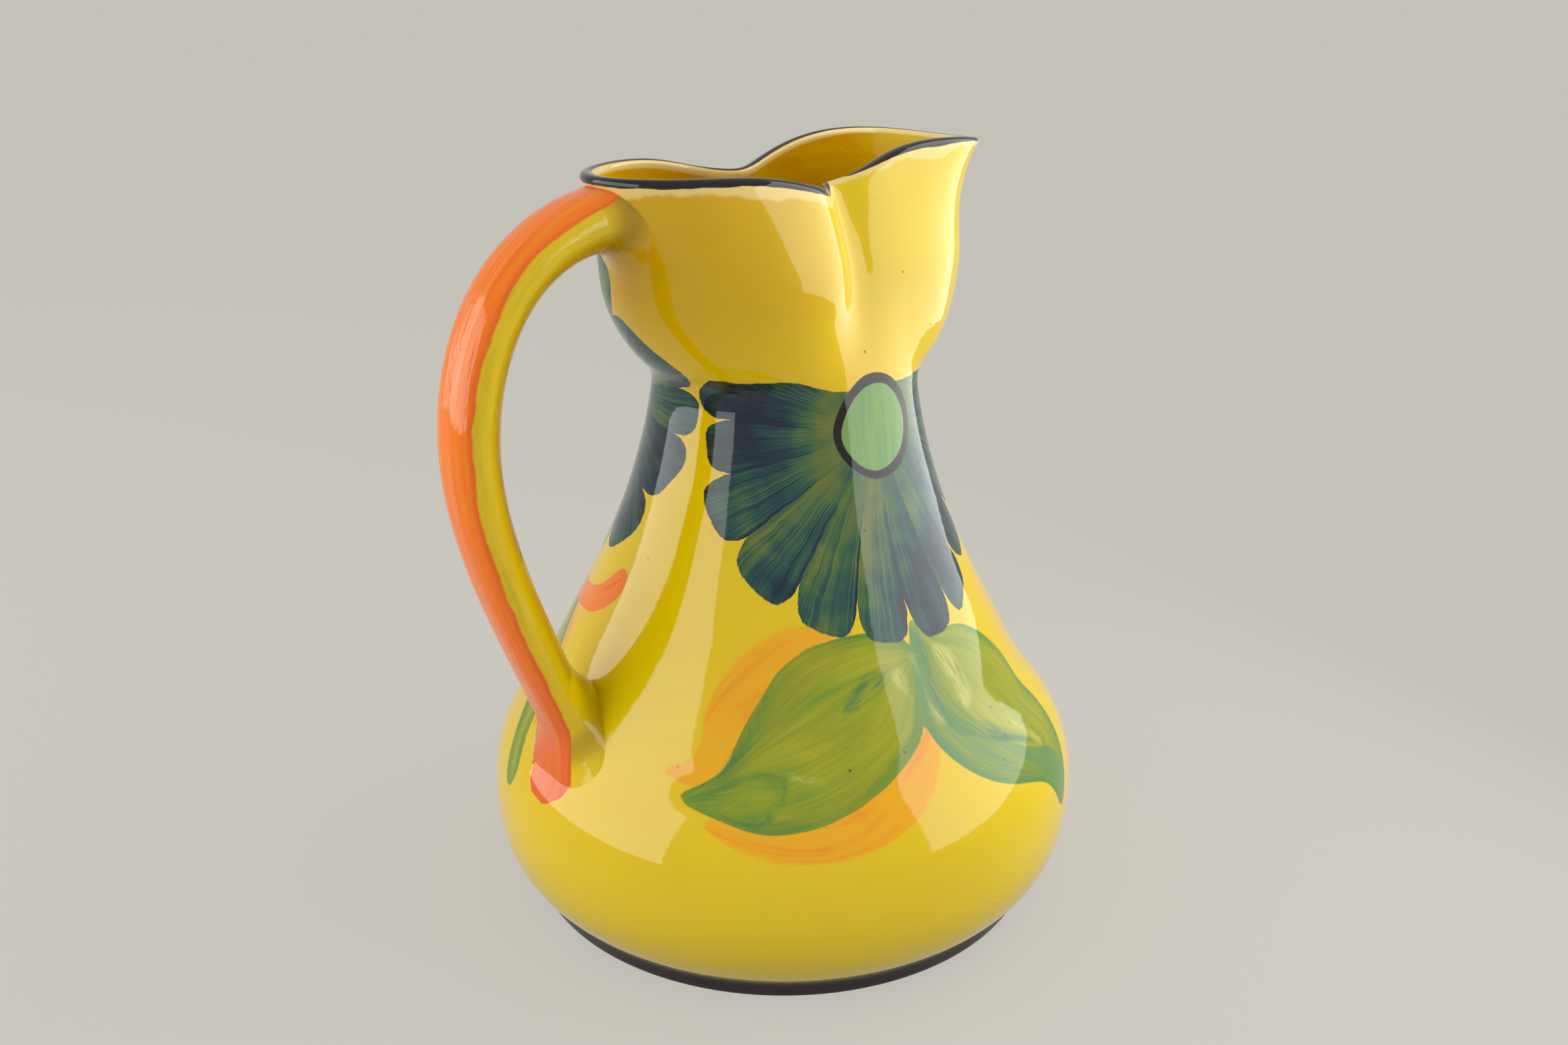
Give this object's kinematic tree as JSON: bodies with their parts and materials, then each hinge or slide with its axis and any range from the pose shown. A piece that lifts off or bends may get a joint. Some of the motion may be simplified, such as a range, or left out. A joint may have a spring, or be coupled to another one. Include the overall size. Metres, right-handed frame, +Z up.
{
  "type": "pottery jug",
  "caption": "Hand-painted glazed earthenware pouring jug: round belly, cone neck, pinched two-lobed collar with a beak, and a loop handle stuck on with slip.",
  "frame": {"origin": "centre of the foot ring, on the plane that the jug stands on", "axes": "+Z up along the body's axis, +X towards the pouring beak, handle at -X, the XZ plane is the mirror plane"},
  "size_m": [0.1947, 0.178, 0.22],
  "materials": {
    "body_glaze": "yellow tin glaze, brush-painted, glossy",
    "handle_glaze": "orange and yellow tin glaze, glossy",
    "slip_glaze": "yellow tin glaze over a roll of slip, glossy"
  },
  "bodies": {
    "root": {"jug_body": "body_glaze", "handle": "handle_glaze", "upper_slip_joint": "slip_glaze", "lower_slip_joint": "slip_glaze"}
  },
  "joints": []
}
